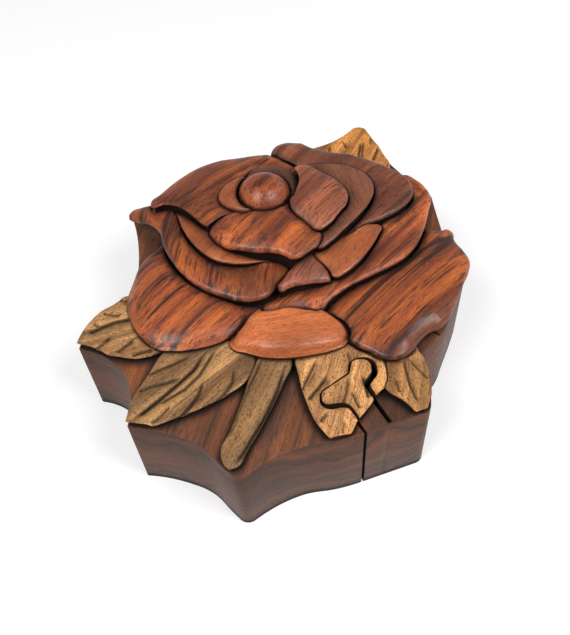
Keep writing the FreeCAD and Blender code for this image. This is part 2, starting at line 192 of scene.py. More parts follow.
# Raised folds on petals: points in the plan, height and half width, in millimetres
FOLDS = {
    "outer_right_petal": [([(44.0, -38.0), (51.0, -31.0), (60.0, -25.0)], 0.7, 3.6)],
    "right_petal": [([(-2.0, -18.6), (6.0, -18.0), (16.0, -18.0)], 0.5, 2.0)],
    "front_petal": [([(-9.0, -24.6), (2.0, -22.4), (14.0, -24.4)], 1.6, 3.4)],
}

# Depth below the rim at which the painted shade on a leaf's side and its undercut begin
LEAF_SIDE_SHADE_START = -0.4 * MILLIMETRE
LEAF_UNDERCUT_START = -0.2 * MILLIMETRE

# Pieces of the leaves: the direction of their grain in the plan, its tone and its warmth
LEAF_LOOKS = {
    "left_leaf": (18.0, 1.06, -0.1),
    "front_left_leaf": (40.0, 0.95, -0.2),
    "front_leaf": (62.0, 0.8, -0.25),
    "key_leaf": (72.0, 1.8, 0.0),
    "key_leaf_cap": (72.0, 1.45, 0.0),
    "right_leaf": (78.0, 1.12, 0.2),
    "back_leaf": (60.0, 1.3, 1.0),
}

# Veins cut into the leaves: points in the plan in millimetres, and a share of the full depth
LEAF_VEINS = {
    "left": [
        ([(-71.2, -21.1), (-66.6, -18.9), (-61.5, -16.7), (-54.0, -15.8)], 1.0),
        ([(-69.4, -17.0), (-67.0, -18.8)], 0.6),
        ([(-66.2, -12.2), (-62.5, -13.6), (-59.0, -13.9)], 0.7),
        ([(-60.8, -6.3), (-56.9, -7.8)], 0.6),
        ([(-67.9, -28.8), (-65.5, -26.9), (-62.6, -23.8)], 0.7),
        ([(-59.8, -30.9), (-56.9, -28.6), (-53.8, -25.8)], 0.7),
        ([(-54.1, -33.0), (-50.7, -31.7), (-46.0, -31.0)], 0.7),
    ],
    "front_left": [
        ([(-51.1, -58.9), (-43.4, -52.4), (-36.9, -46.2), (-31.9, -41.3), (-26.8, -33.5)], 1.0),
        ([(-43.8, -54.4), (-34.6, -49.0), (-29.6, -43.6), (-23.0, -32.0)], 0.8),
        ([(-51.2, -48.7), (-46.3, -46.9), (-41.0, -45.8), (-35.6, -44.2)], 0.7),
        ([(-47.9, -42.0), (-43.0, -39.7), (-38.4, -37.9), (-32.6, -35.2)], 0.7),
        ([(-46.2, -61.8), (-43.2, -59.6), (-39.4, -55.4)], 0.7),
        ([(-36.2, -60.4), (-32.7, -56.0), (-30.0, -52.1), (-28.0, -46.8)], 0.8),
        ([(-34.6, -58.8), (-31.6, -55.6), (-28.9, -51.6)], 0.5),
        ([(-25.6, -56.5), (-21.1, -52.9), (-17.9, -47.9), (-16.9, -42.0)], 0.7),
    ],
    "front": [
        ([(-17.4, -79.6), (-7.9, -64.0), (-2.5, -53.3), (1.6, -42.0)], 0.9),
        ([(-19.6, -69.5), (-15.0, -58.0), (-10.0, -46.2), (-6.5, -38.0)], 0.5),
    ],
    "key": [
        ([(6.4, -53.2), (9.8, -46.3), (12.6, -41.0)], 0.8),
        ([(8.6, -51.6), (11.6, -46.0)], 0.5),
        ([(8.2, -57.4), (11.6, -53.5), (15.8, -48.2)], 0.9),
        ([(11.6, -66.2), (14.4, -63.3)], 0.7),
        ([(24.4, -45.6), (24.0, -38.5)], 0.6),
        ([(19.5, -61.0), (21.7, -55.6), (23.2, -49.4)], 0.8),
        ([(25.5, -62.4), (24.3, -58.1), (23.5, -55.2)], 0.8),
        ([(29.0, -58.4), (28.4, -52.8), (27.9, -49.2)], 0.9),
        ([(18.6, -71.6), (19.8, -66.8)], 0.5),
    ],
    "right": [
        ([(45.5, -61.4), (43.9, -54.2), (43.3, -43.0)], 0.8),
        ([(39.9, -57.4), (39.4, -51.8)], 0.6),
        ([(50.6, -52.6), (47.8, -48.2), (45.0, -43.5)], 0.7),
    ],
    "back": [
        ([(39.4, 61.0), (42.2, 72.4)], 0.8),
        ([(41.0, 61.0), (43.4, 73.0)], 0.8),
        ([(46.0, 60.4), (49.4, 68.8)], 0.8),
        ([(35.6, 69.6), (34.4, 74.4)], 0.7),
        ([(46.2, 71.2), (47.0, 75.8)], 0.6),
        ([(27.6, 66.8), (28.2, 71.6)], 0.6),
    ],
}
LEAF_VEIN_GROUPS = {
    "left_leaf": "left",
    "front_left_leaf": "front_left",
    "front_leaf": "front",
    "key_leaf": "key",
    "key_leaf_cap": "key",
    "right_leaf": "right",
    "back_leaf": "back",
}

# Felts and the pieces that carry them
FELT_CARRIERS = {"floor_felt": "bottom_board", "wall_felt": "box_body", "lid_felt": "lid_plug"}

# Point that the lamps face, gap between the floor and the box, and where the camera's view begins
LAMP_TARGET = (0.0, 0.0, 0.04)
FLOOR_GAP = 0.1 * MILLIMETRE
VIEW_START = 10.0 * MILLIMETRE

# What all colours in the settings share: they are given as seen on a display
SEEN_COLOUR = {"subtype": "COLOR_GAMMA", "size": 3, "min": 0.0, "max": 1.0}


class RoseBoxWoods(bpy.types.PropertyGroup):
    """Colours of the woods and of the felt, as they look under plain light"""

    striped_light: FloatVectorProperty(
        name="Petal, light", description="Light streaks of the red-brown petals",
        **SEEN_COLOUR, default=(0.76, 0.41, 0.19))
    striped_middle: FloatVectorProperty(
        name="Petal, middle", description="Ground colour of the red-brown petals",
        **SEEN_COLOUR, default=(0.56, 0.265, 0.15))
    striped_dark: FloatVectorProperty(
        name="Petal, dark", description="Dark stripes of the red-brown petals",
        **SEEN_COLOUR, default=(0.25, 0.13, 0.1))
    pinkish_light: FloatVectorProperty(
        name="Pink petal, light", description="Light streaks of the paler, pinkish petals",
        **SEEN_COLOUR, default=(0.72, 0.43, 0.30))
    pinkish_middle: FloatVectorProperty(
        name="Pink petal, middle", description="Ground colour of the paler, pinkish petals",
        **SEEN_COLOUR, default=(0.58, 0.31, 0.21))
    pinkish_dark: FloatVectorProperty(
        name="Pink petal, dark", description="Dark stripes of the paler, pinkish petals",
        **SEEN_COLOUR, default=(0.32, 0.18, 0.15))
    bright_light: FloatVectorProperty(
        name="Bright petal, light", description="Light streaks of the orange-brown petals",
        **SEEN_COLOUR, default=(0.78, 0.45, 0.26))
    bright_middle: FloatVectorProperty(
        name="Bright petal, middle", description="Ground colour of the orange-brown petals",
        **SEEN_COLOUR, default=(0.70, 0.38, 0.20))
    bright_dark: FloatVectorProperty(
        name="Bright petal, dark", description="Dark streaks of the orange-brown petals",
        **SEEN_COLOUR, default=(0.48, 0.24, 0.13))
    greyish_light: FloatVectorProperty(
        name="Grey petal, light", description="Light streaks of the grey-brown petals",
        **SEEN_COLOUR, default=(0.58, 0.36, 0.25))
    greyish_middle: FloatVectorProperty(
        name="Grey petal, middle", description="Ground colour of the grey-brown petals",
        **SEEN_COLOUR, default=(0.5, 0.28, 0.19))
    greyish_dark: FloatVectorProperty(
        name="Grey petal, dark", description="Dark streaks of the grey-brown petals",
        **SEEN_COLOUR, default=(0.34, 0.19, 0.14))
    leaf_light: FloatVectorProperty(
        name="Leaf, light", description="Light streaks of the leaf wood",
        **SEEN_COLOUR, default=(0.93, 0.70, 0.44))
    leaf_middle: FloatVectorProperty(
        name="Leaf, middle", description="Ground colour of the leaf wood",
        **SEEN_COLOUR, default=(0.68, 0.48, 0.29))
    leaf_dark: FloatVectorProperty(
        name="Leaf, dark", description="Dark streaks of the leaf wood",
        **SEEN_COLOUR, default=(0.38, 0.27, 0.18))
    block_light: FloatVectorProperty(
        name="Block, light", description="Light streaks of the block",
        **SEEN_COLOUR, default=(0.57, 0.34, 0.205))
    block_middle: FloatVectorProperty(
        name="Block, middle", description="Ground colour of the block",
        **SEEN_COLOUR, default=(0.42, 0.255, 0.165))
    block_dark: FloatVectorProperty(
        name="Block, dark", description="Dark streaks of the block",
        **SEEN_COLOUR, default=(0.25, 0.18, 0.15))
    felt: FloatVectorProperty(
        name="Felt", description="Colour of the flocked lining",
        **SEEN_COLOUR, default=(0.42, 0.09, 0.12))


class RoseBoxShape(bpy.types.PropertyGroup):
    """Sizes of the carving"""

    petal_grid: FloatProperty(
        name="Petal grid", description="Spacing of the petals' mesh",
        unit="LENGTH", default=0.0005)
    leaf_grid: FloatProperty(
        name="Leaf grid", description="Spacing of the leaves' mesh",
        unit="LENGTH", default=0.0003)
    felt_grid: FloatProperty(
        name="Felt grid", description="Spacing of the felt's mesh",
        unit="LENGTH", default=0.0008)
    softening: IntProperty(
        name="Softening", description="Rounds of sanding over the carved pieces",
        default=4, min=0)
    blending: IntProperty(
        name="Blending", description="Rounds of evening out where a petal sinks",
        default=24, min=0)
    dip_depth: FloatProperty(
        name="Dip depth", description="How far a petal sinks at the foot of a higher one",
        unit="LENGTH", default=0.0015)
    dip_reach: FloatProperty(
        name="Dip reach", description="Width over which a petal sinks toward a higher one",
        unit="LENGTH", default=0.008)
    petal_undercut: FloatProperty(
        name="Petal undercut", description="How far the foot of a petal's side lies behind its rim",
        unit="LENGTH", default=0.0014)
    leaf_undercut: FloatProperty(
        name="Leaf undercut", description="How far the foot of a leaf's side lies behind its rim",
        unit="LENGTH", default=0.0012)
    edge_drop: FloatProperty(
        name="Edge drop", description="How far a petal's top falls toward its rim",
        unit="LENGTH", default=0.0007)
    edge_reach: FloatProperty(
        name="Edge reach", description="Width over which a petal's top falls toward its rim",
        unit="LENGTH", default=0.006)
    soft_reach: FloatProperty(
        name="Soft reach", description="Width over which a soft rim rolls over",
        unit="LENGTH", default=0.01)
    vein_depth: FloatProperty(
        name="Vein depth", description="Depth of the deepest veins in the leaves",
        unit="LENGTH", default=0.0017)
    vein_width: FloatProperty(
        name="Vein width", description="Width of the steep side of a vein",
        unit="LENGTH", default=0.0004)
    vein_slope: FloatProperty(
        name="Vein slope", description="Width of the sloping side of a vein",
        unit="LENGTH", default=0.0018)
    edge_easing: FloatProperty(
        name="Eased edge", description="Width of the eased edges of the block and the boards",
        unit="LENGTH", default=0.0004)


class RoseBoxStage(bpy.types.PropertyGroup):
    """Camera, lamps and floor"""

    camera_place: FloatVectorProperty(
        name="Camera place", description="Where the camera stands",
        subtype="TRANSLATION", unit="LENGTH", size=3, default=(0.0025, -0.1976, 0.27542))
    camera_pitch: FloatProperty(
        name="Camera pitch", description="How far the camera looks down",
        subtype="ANGLE", default=math.radians(53.0))
    camera_roll: FloatProperty(
        name="Camera roll", description="How far the camera leans to one side",
        subtype="ANGLE", default=math.radians(-4.495))
    camera_lens: FloatProperty(
        name="Focal length", description="Focal length in millimetres", default=44.555)
    left_lamp: FloatVectorProperty(
        name="Left lamp", description="Where the left lamp hangs",
        subtype="TRANSLATION", unit="LENGTH", size=3, default=(-0.34, -0.3, 0.73))
    right_lamp: FloatVectorProperty(
        name="Right lamp", description="Where the right lamp hangs",
        subtype="TRANSLATION", unit="LENGTH", size=3, default=(0.42, -0.26, 0.69))
    lamp_size: FloatProperty(
        name="Lamp size", description="Side of each of the two square lamps",
        unit="LENGTH", default=0.36)
    lamp_power: FloatProperty(
        name="Lamp power", description="Power of each of the two lamps",
        unit="POWER", default=3.9)
    ceiling_strength: FloatProperty(
        name="Ceiling light", description="Strength of the even light from above", default=0.25)
    wall_strength: FloatProperty(
        name="Wall light", description="Strength of the even light from all round", default=0.55)
    floor_size: FloatProperty(
        name="Floor size", description="Side of the square floor",
        unit="LENGTH", default=8.0)
    floor_white: FloatProperty(
        name="Floor white", description="Whiteness of the floor",
        default=0.6, min=0.0, max=1.0)
    floor_glow: FloatProperty(
        name="Floor glow", description="White added where the floor is seen",
        default=0.45, min=0.0, max=1.0)


def linear(colour):
    """Shader colour of a colour as it is seen on a display."""
    channels = [c / 12.92 if c <= 0.04045 else ((c + 0.055) / 1.055) ** 2.4 for c in colour]
    return (*channels, 1.0)


def shade(colour, share):
    """Linear colour made darker or lighter."""
    return (*[c * share for c in colour[:3]], 1.0)


def warmer(colour, warmth):
    """Linear colour drawn toward orange."""
    red, green, blue, _ = colour
    return (red, green * (1.0 - 0.18 * warmth), blue * (1.0 - 0.45 * warmth), 1.0)


def add_node(tree, kind, values=None, **settings):
    """Add a shader node; an input is given a value, or is linked where it is given a socket."""
    made = tree.nodes.new(kind)
    for name, value in settings.items():
        setattr(made, name, value)
    for name, value in (values or {}).items():
        if isinstance(value, bpy.types.NodeSocket):
            tree.links.new(value, made.inputs[name])
        else:
            made.inputs[name].default_value = value
    return made


def streaks(tree, grain, along, across, detail=2.0, roughness=0.5):
    """Noise drawn out along the grain; lengths are in millimetres."""
    scale = (1.0 / along, 1.0 / across, 1.0 / across)
    squeezed = add_node(tree, "ShaderNodeMapping", {"Vector": grain, "Scale": scale})
    noise = add_node(tree, "ShaderNodeTexNoise", {
        "Vector": squeezed.outputs["Vector"], "Scale": 1.0, "Detail": detail, "Roughness": roughness})
    return noise.outputs["Fac"]


def ramp(tree, factor, stops):
    """Colour ramp through stops of position and colour."""
    made = add_node(tree, "ShaderNodeValToRGB", {"Fac": factor})
    elements = made.color_ramp.elements
    while len(elements) < len(stops):
        elements.new(1.0)
    for element, (position, colour) in zip(elements, stops):
        element.position = position
        element.color = colour
    return made.outputs["Color"]


def window(tree, factor, low, high, bottom=0.0, top=1.0):
    """Share that rises from one value to another while the factor goes from low to high."""
    made = add_node(tree, "ShaderNodeMapRange", {
        "Value": factor, "From Min": low, "From Max": high, "To Min": bottom, "To Max": top})
    return made.outputs["Result"]


def mix(tree, factor, first, second, blend="MIX"):
    """Mix two colours."""
    made = add_node(tree, "ShaderNodeMix", {
        MIX_SHARE: factor, MIX_FIRST: first, MIX_SECOND: second}, data_type="RGBA", blend_type=blend)
    return made.outputs[MIXED]


def calculate(tree, operation, first, second):
    """Sum, product or other result of two numbers."""
    made = add_node(tree, "ShaderNodeMath", {0: first, 1: second}, operation=operation)
    return made.outputs[0]


def grain_space(tree, angle, seed, wander):
    """Coordinates in millimetres, with X along the grain, that wander as a tree's grain does."""
    place = add_node(tree, "ShaderNodeTexCoord").outputs["Object"]
    turned = add_node(tree, "ShaderNodeMapping", {
        "Vector": place, "Rotation": (0.0, 0.0, -math.radians(angle)),
        "Scale": (1.0 / MILLIMETRE,) * 3, "Location": [step * seed for step in SEED_STEP]})
    slow = add_node(tree, "ShaderNodeMapping", {
        "Vector": turned.outputs["Vector"], "Scale": [1.0 / length for length in WANDER_LENGTHS]})
    drift = add_node(tree, "ShaderNodeTexNoise", {
        "Vector": slow.outputs["Vector"], "Scale": 1.0, "Detail": 1.0})
    bend = add_node(tree, "ShaderNodeVectorMath", {
        0: drift.outputs["Color"], 1: (0.0, wander, wander)}, operation="MULTIPLY")
    total = add_node(tree, "ShaderNodeVectorMath", {
        0: turned.outputs["Vector"], 1: bend.outputs["Vector"]}, operation="ADD")
    return total.outputs["Vector"]


def tones(woods, kind, tone):
    """Dark, middle and light shader colours of a wood."""
    return [shade(linear(getattr(woods, kind + end)), tone) for end in ("_dark", "_middle", "_light")]


def wood_colour(tree, grain, colours, band, stripe, stripes, fine):
    """Wood's colour without its pores: a ground of light bands, dark stripes and fine dark lines.

    The widths of a band and of a stripe are in millimetres, stripes and fine lines have a strength.
    """
    dark, middle, light = colours
    bands = streaks(tree, grain, 120.0, band, detail=3.0, roughness=0.55)
    stripe_noise = streaks(tree, grain, 170.0, stripe, detail=3.0, roughness=0.5)
    fine_noise = streaks(tree, grain, 110.0, 0.3 * stripe, detail=3.0, roughness=0.6)
    patches = streaks(tree, grain, 50.0, 16.0, detail=1.0)
    ground = mix(tree, window(tree, bands, 0.36, 0.66), middle, light)
    ground = mix(tree, window(tree, patches, 0.44, 0.66, 0.0, 0.62), ground, dark)
    broad = calculate(tree, "MULTIPLY", window(tree, stripe_noise, 0.50, 0.64), stripes)
    ground = mix(tree, broad, ground, dark)
    lines = calculate(tree, "MULTIPLY", window(tree, fine_noise, 0.54, 0.66), fine)
    return mix(tree, lines, ground, shade(dark, 0.8))


def wood_material(name, base, grain_of, pore, pores=0.62, pore_size=(2.8, 0.26), pore_level=0.57,
                  pit_depth=0.12, gloss=(0.34, 0.5), coat=0.3, specular=0.32, contact=(0.94, 0.6)):
    """Procedural wood with fibres, pores, painted shade in recesses and near neighbours, and a satin coat.

    The base gives the colour along the grain. Pores have a colour, a strength, a length and width in
    millimetres, the level of noise at which they begin and a depth in millimetres; a quarter of the pore
    colour is the painted shade in recesses and near neighbours. Gloss holds the lowest and the highest
    roughness, contact the openness at which the painted contact shade begins and is full.
    """
    material = bpy.data.materials.new(name)
    material.use_nodes = True
    tree = material.node_tree
    tree.nodes.clear()
    grain = grain_of(tree)
    fibres = streaks(tree, grain, 14.0, 0.5, detail=3.0, roughness=0.6)
    pits = window(tree, streaks(tree, grain, *pore_size, detail=1.0), pore_level, pore_level + 0.08)
    tone = ramp(tree, fibres, [(0.25, (0.64, 0.61, 0.59, 1.0)), (0.75, (1.22, 1.2, 1.18, 1.0))])
    colour = mix(tree, 1.0, base(tree, grain), tone, "MULTIPLY")
    colour = mix(tree, calculate(tree, "MULTIPLY", pits, pores), colour, pore)
    # Painted shade: the stored recess shade and the ambient occlusion near neighbours darken the colour
    # toward a quarter of the pore colour and dull the coat
    painted_recess_shade = add_node(tree, "ShaderNodeAttribute", attribute_name="painted_recess_shade").outputs["Fac"]
    openness = add_node(tree, "ShaderNodeAmbientOcclusion", {"Distance": CONTACT_SHADE_REACH}, samples=6)
    painted_contact_shade = window(tree, openness.outputs["AO"], *contact, 0.0, CONTACT_SHADE)
    painted_recess_shade = calculate(tree, "MAXIMUM", painted_recess_shade, painted_contact_shade)
    colour = mix(tree, painted_recess_shade, colour, shade(pore, 0.25))
    ridges = calculate(tree, "MULTIPLY", fibres, 0.35)
    relief = calculate(tree, "SUBTRACT", ridges, calculate(tree, "MULTIPLY", pits, pores))
    bump = add_node(tree, "ShaderNodeBump", {
        "Height": relief, "Strength": 0.5, "Distance": pit_depth * MILLIMETRE})
    polish = window(tree, fibres, 0.3, 0.75, gloss[1], gloss[0])
    rough = calculate(tree, "ADD", polish, calculate(tree, "MULTIPLY", painted_recess_shade, 0.4))
    shine = calculate(tree, "MULTIPLY", calculate(tree, "SUBTRACT", 1.0, painted_recess_shade), coat)
    shader = add_node(tree, "ShaderNodeBsdfPrincipled", {
        "Base Color": colour, "Roughness": rough, "Normal": bump.outputs["Normal"],
        "Specular IOR Level": specular, "Coat Weight": shine, "Coat Roughness": 0.28})
    output = add_node(tree, "ShaderNodeOutputMaterial")
    tree.links.new(shader.outputs["BSDF"], output.inputs["Surface"])
    return material


def petal_material(woods, piece, seed):
    """Wood of one piece of the rose."""
    kind, angle, tone = PETAL_LOOKS[piece]
    colours = tones(woods, kind, tone)
    band, stripe, stripes, fine = PETAL_GRAINS[kind]
    stripes = STRONG_STRIPES.get(piece, stripes)
    return wood_material(
        piece + "_wood",
        lambda tree, grain: wood_colour(tree, grain, colours, band, stripe, stripes, fine),
        lambda tree: grain_space(tree, angle, seed, wander=8.0),
        shade(colours[0], 0.35))


def leaf_material(woods, piece, seed):
    """Open-pored wood of one leaf."""
    angle, tone, warmth = LEAF_LOOKS[piece]
    colours = [warmer(colour, warmth) for colour in tones(woods, "leaf", tone)]
    return wood_material(
        piece + "_wood",
        lambda tree, grain: wood_colour(tree, grain, colours, band=5.0, stripe=5.0, stripes=0.6, fine=0.5),
        lambda tree: grain_space(tree, angle, seed, wander=6.0),
        shade(colours[0], 0.2), pores=0.8, pore_size=(1.0, 0.24), pore_level=0.55, pit_depth=0.25,
        gloss=(0.42, 0.6), coat=0.1, contact=(0.82, 0.5))


def block_base(tree, grain, colours):
    """Block's colour: streaks along the grain on its top, wavy layers round its walls with painted shade
    that darkens them.
    """
    top = wood_colour(tree, grain, colours, band=7.0, stripe=4.0, stripes=0.7, fine=0.5)
    place = add_node(tree, "ShaderNodeMapping", {
        "Vector": add_node(tree, "ShaderNodeTexCoord").outputs["Object"],
        "Scale": (1.0 / MILLIMETRE,) * 3}).outputs["Vector"]
    drift = add_node(tree, "ShaderNodeTexNoise", {
        "Vector": place, "Scale": 1.0 / WALL_WAVE, "Detail": 3.0}).outputs["Fac"]
    along = add_node(tree, "ShaderNodeSeparateXYZ", {"Vector": place}).outputs
    level = calculate(tree, "ADD", along["Z"], calculate(tree, "MULTIPLY", drift, WALL_SWING))
    run = calculate(tree, "ADD", along["X"], calculate(tree, "MULTIPLY", along["Y"], WALL_SLANT))
    layers = add_node(tree, "ShaderNodeCombineXYZ", {"X": run, "Y": level}).outputs["Vector"]
    # Painted shade: the walls take darker copies of the block's colours than the top
    painted_shade = [shade(colour, WALL_PAINTED_SHADE) for colour in colours]
    wall = wood_colour(tree, layers, painted_shade, band=6.0, stripe=3.2, stripes=0.6, fine=0.4)
    rise = add_node(tree, "ShaderNodeSeparateXYZ", {
        "Vector": add_node(tree, "ShaderNodeNewGeometry").outputs["True Normal"]}).outputs["Z"]
    level_share = window(tree, calculate(tree, "ABSOLUTE", rise, 0.0), 0.4, 0.8)
    return mix(tree, level_share, wall, top)


def block_material(woods):
    """Dark wood of the block and the boards."""
    colours = tones(woods, "block", 1.0)
    return wood_material(
        "block_wood",
        lambda tree, grain: block_base(tree, grain, colours),
        lambda tree: grain_space(tree, angle=70.0, seed=3, wander=14.0),
        shade(colours[0], 0.3), pores=0.45, gloss=(0.42, 0.58), coat=0.04, specular=0.25)


def felt_material(woods):
    """Flocked felt with a short nap."""
    material = bpy.data.materials.new("felt_lining")
    material.use_nodes = True
    tree = material.node_tree
    tree.nodes.clear()
    place = add_node(tree, "ShaderNodeTexCoord").outputs["Object"]
    nap = add_node(tree, "ShaderNodeTexNoise", {
        "Vector": place, "Scale": 2600.0, "Detail": 3.0}).outputs["Fac"]
    patch = add_node(tree, "ShaderNodeTexNoise", {
        "Vector": place, "Scale": 90.0, "Detail": 2.0}).outputs["Fac"]
    base = linear(woods.felt)
    colour = ramp(tree, nap, [(0.3, shade(base, 0.55)), (0.7, shade(base, 1.25))])
    colour = mix(tree, window(tree, patch, 0.35, 0.7, 0.0, 0.35), colour, shade(base, 0.7))
    bump = add_node(tree, "ShaderNodeBump", {
        "Height": nap, "Strength": 0.6, "Distance": 0.2 * MILLIMETRE})
    shader = add_node(tree, "ShaderNodeBsdfPrincipled", {
        "Base Color": colour, "Roughness": 0.95, "Normal": bump.outputs["Normal"],
        "Specular IOR Level": 0.15, "Sheen Weight": 0.6, "Sheen Roughness": 0.5,
        "Sheen Tint": shade(base, 2.0)})
    output = add_node(tree, "ShaderNodeOutputMaterial")
    tree.links.new(shader.outputs["BSDF"], output.inputs["Surface"])
    return material


def copy_of(node, name):
    """New object with a copy of a CAD node's mesh, without its materials."""
    made = bpy.data.objects.new(name, frame["nodes"][node].data.copy())
    bpy.context.scene.collection.objects.link(made)
    made.data.materials.clear()
    return made


def apply_modifiers(piece):
    """Make the modified mesh the piece's own."""
    graph = bpy.context.evaluated_depsgraph_get()
    finished = bpy.data.meshes.new_from_object(piece.evaluated_get(graph))
    first = piece.data
    piece.modifiers.clear()
    piece.data = finished
    bpy.data.meshes.remove(first)


def even_mesh(piece, grid):
    """Give a piece an even, closed mesh."""
    remesh = piece.modifiers.new("even_mesh", "REMESH")
    remesh.mode = "VOXEL"
    remesh.voxel_size = grid
    apply_modifiers(piece)
    piece.data.polygons.foreach_set("use_smooth", [True] * len(piece.data.polygons))


def read_points(piece, field="co"):
    """Places or normals of a piece's vertices."""
    values = np.empty(len(piece.data.vertices) * 3)
    piece.data.vertices.foreach_get(field, values)
    return values.reshape(-1, 3)


def write_points(piece, points):
    """Move a piece's vertices."""
    piece.data.vertices.foreach_set("co", points.ravel())
    piece.data.update()


def neighbour_means(piece):
    """Function that gives, for each vertex, the mean of a value over the vertices it is joined to."""
    ends = np.empty(len(piece.data.edges) * 2, dtype=np.int64)
    piece.data.edges.foreach_get("vertices", ends)
    first, second = ends.reshape(-1, 2).T
    count = len(piece.data.vertices)
    joined = np.bincount(ends, minlength=count)
    return lambda values: (
        np.bincount(first, values[second], count) + np.bincount(second, values[first], count)) / joined


def sand(piece, rounds):
    """Smooth a piece without shrinking it."""
    points = read_points(piece)
    means = neighbour_means(piece)
    for step in SANDING_STEPS * rounds:
        points += step * (np.column_stack([means(values) for values in points.T]) - points)
    write_points(piece, points)


def blend(piece, values, rounds):
    """Even out values that jump from vertex to vertex."""
    means = neighbour_means(piece)
    for _ in range(rounds):
        values = 0.5 * (values + means(values))
    return values


def set_painted_shade(piece, values):
    """Store the painted shade of each vertex, from 0 to 1, which darkens the wood in its recesses."""
    layer = piece.data.attributes.new("painted_recess_shade", "FLOAT", "POINT")
    layer.data.foreach_set("value", values.astype(np.float32))


def finish_piece(piece, node, material):
    """Let a piece stand for its CAD node, move with its body and take its material."""
    piece.data.materials.append(material)
    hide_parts(node)
    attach(piece, frame["nodes"][node]["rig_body"])


def smooth_share(values, low, high):
    """Share that eases from 0 to 1 while the values go from low to high."""
    t = np.clip((values - low) / (high - low), 0.0, 1.0)
    return t * t * (3.0 - 2.0 * t)


def run_distance(points, places):
    """Distance in the plan from a run of places, the side of it and how far along it, as a share."""
    flat = points[:, :2]
    nearest = np.full(len(flat), np.inf)
    side = np.zeros(len(flat))
    reach = np.zeros(len(flat))
    begun = 0.0
    for start, end in zip(places, places[1:]):
        step = np.linalg.norm(end - start)
        along = (end - start) / step
        offset = flat - start
        position = np.clip(offset @ along, 0.0, step)
        distance = np.linalg.norm(offset - position[:, None] * along, axis=1)
        closer = distance < nearest
        nearest = np.where(closer, distance, nearest)
        side = np.where(closer, along[0] * offset[:, 1] - along[1] * offset[:, 0], side)
        reach = np.where(closer, begun + position, reach)
        begun += step
    return nearest, side, reach / begun


def tree_of(nodes):
    """Search tree over the faces of CAD nodes."""
    corners = []
    faces = []
    for node in nodes:
        data = frame["nodes"][node].data
        first = len(corners)
        corners += [vertex.co for vertex in data.vertices]
        faces += [[first + corner for corner in face.vertices] for face in data.polygons]
    return BVHTree.FromPolygons(corners, faces)


def free_sides(node, others, gap):
    """Search tree over a node's upright faces with no neighbour at their rim, and those faces' tops."""
    data = frame["nodes"][node].data
    faces = []
    tops = []
    for face in data.polygons:
        top = max(data.vertices[corner].co.z for corner in face.vertices)
        probe = Vector((face.center.x, face.center.y, top + 0.2 * MILLIMETRE))
        if abs(face.normal.z) < CARVED_UPRIGHT and others.find_nearest(probe, gap)[0] is None:
            faces.append(list(face.vertices))
            tops.append(top)
    return BVHTree.FromPolygons([vertex.co for vertex in data.vertices], faces), tops


def edge_field(points, sides, tops, reach):
    """How far each point is inside the nearest free side, how deep below its rim, and the way out."""
    inside = np.full(len(points), reach)
    depth = np.zeros(len(points))
    outward = np.zeros_like(points)
    for index, place in enumerate(points):
        near, way, face, _ = sides.find_nearest(place, reach)
        if near is not None:
            inside[index] = math.hypot(near.x - place[0], near.y - place[1])
            depth[index] = tops[face] - place[2]
            outward[index] = way
    outward[:, 2] = 0.0
    return inside, depth, outward


def foot_field(points, normals, others, reach):
    """How far each point that isn't on the underside is from the foot of a higher neighbour."""
    away = np.full(len(points), reach)
    for index in np.flatnonzero(normals[:, 2] > -0.6):
        x, y, z = points[index]
        near = others.find_nearest((x, y, z + MILLIMETRE), reach)[0]
        if near is not None and near.z > z + 0.5 * MILLIMETRE:
            away[index] = math.hypot(near.x - x, near.y - y)
    return away


def soft_drop(points, node):
    """Drop of the rim near a node's soft stretches."""
    drop = np.zeros(len(points))
    for place, reach, height in SOFT_RIMS.get(node, []):
        far = np.linalg.norm(points[:, :2] - np.array(place) * MILLIMETRE, axis=1)
        share = 1.0 - smooth_share(far, 0.3 * reach * MILLIMETRE, reach * MILLIMETRE)
        drop = np.maximum(drop, height * MILLIMETRE * share)
    return drop


def undercut_edges(points, edge, reach, amount, start):
    """Move the foot of the free sides inward."""
    inside, depth, outward = edge
    fade = 1.0 - np.minimum(inside / reach, 1.0)
    lower = smooth_share(depth, start, start + 2.0 * MILLIMETRE)
    points -= outward * (amount * lower * fade)[:, None]


def painted_side_shade(edge, start):
    """Painted shade on the free sides, which grows downward from a depth below their rim."""
    inside, depth, _ = edge
    outer = 1.0 - smooth_share(inside, 0.6 * MILLIMETRE, 2.6 * MILLIMETRE)
    return smooth_share(depth, start, start + 1.4 * MILLIMETRE) * outer


def keep_inside(piece, node):
    """Keep a piece inside the box of its CAD node."""
    corners = np.array([vertex.co for vertex in frame["nodes"][node].data.vertices])
    write_points(piece, np.clip(read_points(piece), corners.min(axis=0), corners.max(axis=0)))


